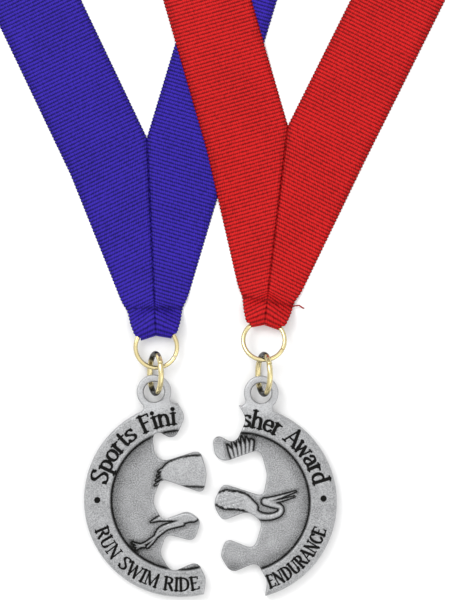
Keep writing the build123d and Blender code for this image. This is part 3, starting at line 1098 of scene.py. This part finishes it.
BACK_STEP = 0.8
LOOP_STEP_RINGS = (24.9, 25.2, 25.5, 25.8, 26.1)  # where the back steps up to the loop
WALL_STEPS = ((0, 1), (0.3, 0.3))  # how far in and up the wall's two rows lie, in foot radii
RIM_MIDDLE, RIM_HALF = 22.3, 3.3
RIM_CROWN = 0.05
RIM_FLAT = 25.6
RIDGE_RADIUS = 19.05
LETTER_DEPTH = 0.34
SAND, GRAIN = 0.014, 0.004
RIM_TONE, FIELD_TONES = 0.31, (0.37, 0.33)
WALL_SHADE_RADIUS = 18.2


def medal_words(hand):
    if hand == 0:
        strokes = arc_text("Sports Fini", 168, 93, 19.95, 4.4, True)
        strokes += arc_text("RUN SWIM RIDE", 199, 282.5, 23.75, 3.35, False)
        star = on_circle(21.9, 180)
    else:
        strokes = arc_text("sher Award", 88.5, 13, 19.95, 4.4, True)
        strokes += arc_text("ENDURANCE", 289, 342.5, 23.75, 3.35, False)
        star = on_circle(21.9, 2.7)
    return strokes + [(star, star + 0.01, 0.8, 0.8)]


def grid_points(step, low, high):
    """A triangular lattice, shaken a little so that the casting shows no rows."""
    xs = np.arange(low[0], high[0], step)
    ys = np.arange(low[1], high[1], step * math.sqrt(3) / 2)
    x, y = np.meshgrid(xs, ys)
    x = x + (np.arange(len(ys)) % 2)[:, None] * step / 2
    spots = np.stack([x.ravel(), y.ravel()], 1)
    return spots + RNG.uniform(-0.1, 0.1, spots.shape) * step


def border_tree(border):
    tree = KDTree(len(border))
    for i, (x, y) in enumerate(border.tolist()):
        tree.insert((x, y, 0), i)
    tree.balance()
    return tree


def nearest(tree, points):
    found = [tree.find((x, y, 0)) for x, y in points.tolist()]
    return np.array([f[2] for f in found]), np.array([f[1] for f in found])


def edge_roll(border, cuts, near_loop):
    """How far each edge point is rolled over: most at the rim, least along the jigsaw line."""
    roll = np.where(np.linalg.norm(border, axis=1) > MEDAL_RADIUS - 0.1, 0.8, 0.42)
    roll = roll * (1 - near_loop) + 0.55 * near_loop
    for _ in range(6):
        line = roll[:cuts]
        roll[:cuts] = (np.roll(line, 1) + np.roll(line, -1) + line) / 3
    return roll


def face_points(border, normals, tree, loops):
    """Rows of points close inside the edge, then a lattice over the rest of the face."""
    rows = [border + normals * d for d in OFFSET_ROWS]
    rows = [row[nearest(tree, row)[0] >= 0.93 * d] for row, d in zip(rows, OFFSET_ROWS)]
    lattice = grid_points(GRID_STEP, border.min(0), border.max(0))
    lattice = lattice[inside(lattice, loops)]
    lattice = lattice[nearest(tree, lattice)[0] > OFFSET_ROWS[-1] + 0.09]
    return np.vstack(rows + [lattice])


def back_points(border, tree, back_loops, loop_angle):
    """A coarse lattice for the plain back, and arcs where it steps up to the loop."""
    coarse = grid_points(BACK_STEP, border.min(0), border.max(0))
    angles = np.arange(loop_angle - 14, loop_angle + 14, 0.8)
    arcs = [on_circle(r, a) for r in LOOP_STEP_RINGS for a in angles]
    coarse = np.vstack([coarse, arcs])
    coarse = coarse[inside(coarse, back_loops)]
    return coarse[nearest(tree, coarse)[0] > 0.7]


def wall_faces(levels, cuts, count):
    """Faces of the side wall, round the outline and round the loop's hole."""
    faces = []
    for first, around in ((0, cuts), (cuts, count - cuts)):
        for upper, lower in zip(levels, levels[1:]):
            for i in range(around):
                a, b = first + i, first + (i + 1) % around
                faces.append((int(upper[a]), int(lower[a]), int(lower[b]), int(upper[b])))
    return faces


def build_medal(hand, loop_angle, centre, name, material):
    """One cast half: rolled rim, sunk grainy field, relief, sunk lettering and jigsaw edge."""
    outline, hole, loop_at = medal_outline(hand, loop_angle)
    loops, cuts = [outline, hole], len(outline)
    border = np.vstack(loops)
    normals = np.vstack([inward(outline), inward(hole)])
    from_loop = np.linalg.norm(border - loop_at, axis=1)
    near_loop = 1 - smooth(LOOP_OUTER + 0.3, LOOP_OUTER + 2.5, from_loop)
    roll = edge_roll(border, cuts, near_loop)
    tree = border_tree(border)
    flat, faces, order = triangulate(loops, face_points(border, normals, tree, loops))
    gap, closest = nearest(tree, flat)
    height, patina_and_painted_light = medal_top(hand, flat, gap, roll[closest], loop_at)

    radius = np.linalg.norm(border, axis=1)
    back_low = LOOP_BACK * smooth(MEDAL_RADIUS - 0.5, MEDAL_RADIUS + 0.6, radius)
    foot = np.where(near_loop > 0.5, 0.5, 0.32)
    walls = []
    for share_in, share_up in WALL_STEPS:
        spots = border + normals * (foot * share_in)[:, None]
        walls.append(np.column_stack([spots, back_low + foot * share_up]))
    back_line = border + normals * foot[:, None]
    back_loops = [back_line[:cuts], back_line[cuts:]]
    extra = back_points(border, tree, back_loops, loop_angle)
    back_flat, back_faces, back_order = triangulate(back_loops, extra)
    back_radius = np.linalg.norm(back_flat, axis=1)
    back = np.column_stack([back_flat, LOOP_BACK * smooth(24.9, 26.0, back_radius)])

    n_top, n_line = len(flat), len(border)
    base = n_top + 2 * n_line
    points = np.vstack([np.column_stack([flat, height]), *walls, back])
    points[:, :2] += centre
    levels = [order[:n_line], n_top + np.arange(n_line), n_top + n_line + np.arange(n_line),
              base + back_order[:n_line]]
    all_faces = [tuple(f) for f in faces.tolist()]
    all_faces += [tuple(base + i for i in reversed(f)) for f in back_faces.tolist()]
    all_faces += wall_faces(levels, cuts, n_line)
    piece = new_piece(name, points, all_faces, material)
    shade = np.full(len(points), 0.3)
    shade[:n_top] = patina_and_painted_light
    set_attribute(piece, "patina_and_painted_light", shade)
    return piece


def medal_top(hand, spots, gap, roll, loop_at):
    """Height and darkness of the face at each point."""
    r = np.linalg.norm(spots, axis=1)
    rim = MEDAL_TOP + RIM_CROWN * (1 - ((r - RIM_MIDDLE) / RIM_HALF) ** 2) * (r < RIM_FLAT)
    rim = np.where(r < RIM_FLAT, rim, MEDAL_TOP)
    rim += 0.09 * np.exp(-((r - RIDGE_RADIUS) / 0.2) ** 2)
    step = smooth(WALL_FOOT, FIELD_RADIUS, r)
    in_field = 1 - step
    raised, dark, halo = relief(spots, hand)
    sandy = RNG.normal(0, 1, len(spots))
    field = FIELD_TOP + raised * (r < WALL_FOOT + 0.2) + SAND * sandy * (halo < 0)
    words = stroke_depth(spots, medal_words(hand))
    edge = np.clip(1 - gap / roll, 0, 1)
    height = field * in_field + rim * step
    height -= LETTER_DEPTH * smooth(-0.02, 0.12, words) * step
    height += GRAIN * sandy
    height -= roll * (1 - np.sqrt(1 - edge ** 2))

    # The letters are blackened and the field is darker round the bird; painted shade darkens the
    # field at the wall's foot, and painted highlight makes the raised relief, the edges and the
    # loop paler.
    patina_and_painted_light = RIM_TONE * step + FIELD_TONES[hand] * in_field
    patina_and_painted_light += in_field * dark * (halo < 0.35)
    # Painted highlight: the raised relief is made paler.
    patina_and_painted_light -= 0.13 * smooth(0.1, 0.6, raised) * in_field
    # Painted shade at the wall's foot, in a narrow dark band and a broad one.
    patina_and_painted_light += 0.5 * np.exp(-((r - WALL_SHADE_RADIUS) / 0.3) ** 2)
    patina_and_painted_light += 0.30 * np.exp(-((r - WALL_SHADE_RADIUS) / 2.4) ** 2) * in_field
    patina_and_painted_light += 1.1 * smooth(-0.03, 0.07, words) * step
    patina_and_painted_light += 0.05 * sandy * in_field * (halo < 0)
    # Painted highlight along every edge and round the loop.
    patina_and_painted_light -= 0.22 * (1 - smooth(0.15, 0.7, gap))
    patina_and_painted_light -= 0.28 * (1 - smooth(4.0, 7.5, np.linalg.norm(spots - loop_at, axis=1)))
    # The right half's upper tab is made paler.
    x, y = spots[:, 0], spots[:, 1]
    patina_and_painted_light -= 0.2 * hand * (1 - smooth(-5.2, -3.6, x)) * smooth(7.0, 9.0, y) * in_field
    return height, np.clip(patina_and_painted_light, 0, 1.2)


# ---------------------------------------------------------------- the scene

def tag(piece, body, node):
    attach(piece, body)
    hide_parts(node)


make_camera()
cloth = {
    "blue": grosgrain("blue_grosgrain_cloth", (0.038, 0.017, 0.385, 1), (0.005, 0.002, 0.075, 1)),
    "red": grosgrain("red_grosgrain_cloth", (0.62, 0.011, 0.012, 1), (0.145, 0.0007, 0.0007, 1)),
}
twine = {
    "blue": sewing_thread("blue_thread_ply", (0.030, 0.014, 0.27, 1), (0.008, 0.004, 0.10, 1)),
    "red": sewing_thread("red_thread_ply", (0.42, 0.006, 0.008, 1), (0.16, 0.002, 0.002, 1)),
}
ribbons = {}
for colour in RIBBONS:
    ribbon = ribbons[colour] = make_ribbon(colour, cloth[colour])
    seam_row = seam_stitches(colour, ribbon, twine[colour])
    row = sleeve_row(colour, ribbon, twine[colour])
    body = f"{colour}_ribbon_body"
    tag(ribbon, body, f"{colour}_ribbon")
    tag(seam_row, body, f"{colour}_seam_thread")
    tag(row, body, f"{colour}_sleeve_stitches")

plate = gold()
for node, facts in RINGS.items():
    on_ribbon = "hinge_z" in facts
    size = RIBBON_RING if on_ribbon else JUMP_RING
    if on_ribbon:
        place = ribbon_ring_place(facts["at"], facts["hinge_z"], size["radius"])
    else:
        place = jump_ring_place(facts["at"])
    ring = split_ring(f"{node}_wire", **size, place=place,
                      painted_dark_ends=0.0 if on_ribbon else JUMP_PAINTED_DARK_ENDS, material=plate)
    kind = "ring" if on_ribbon else "jump"
    tag(ring, f"{node.split('_')[0]}_{kind}_body", node)

metal = pewter()
for hand, (side, centre) in enumerate((("left", LEFT_CENTRE), ("right", RIGHT_CENTRE))):
    half = build_medal(hand, LOOP_ANGLES[hand], centre, f"{side}_pewter_half", metal)
    tag(half, f"{side}_medal_body", f"{side}_medal_half")

make_floor()
make_world()
x, y = ORIGIN * MM
make_light("key", (x - 0.7, y + 0.75, 1.1), (x, y + 0.05, 0), 0.8, 9.0)
make_light("fill", (x + 0.9, y - 0.5, 1.0), (x, y + 0.05, 0), 1.0, 3.0)
bpy.context.scene.view_settings.view_transform = "Standard"
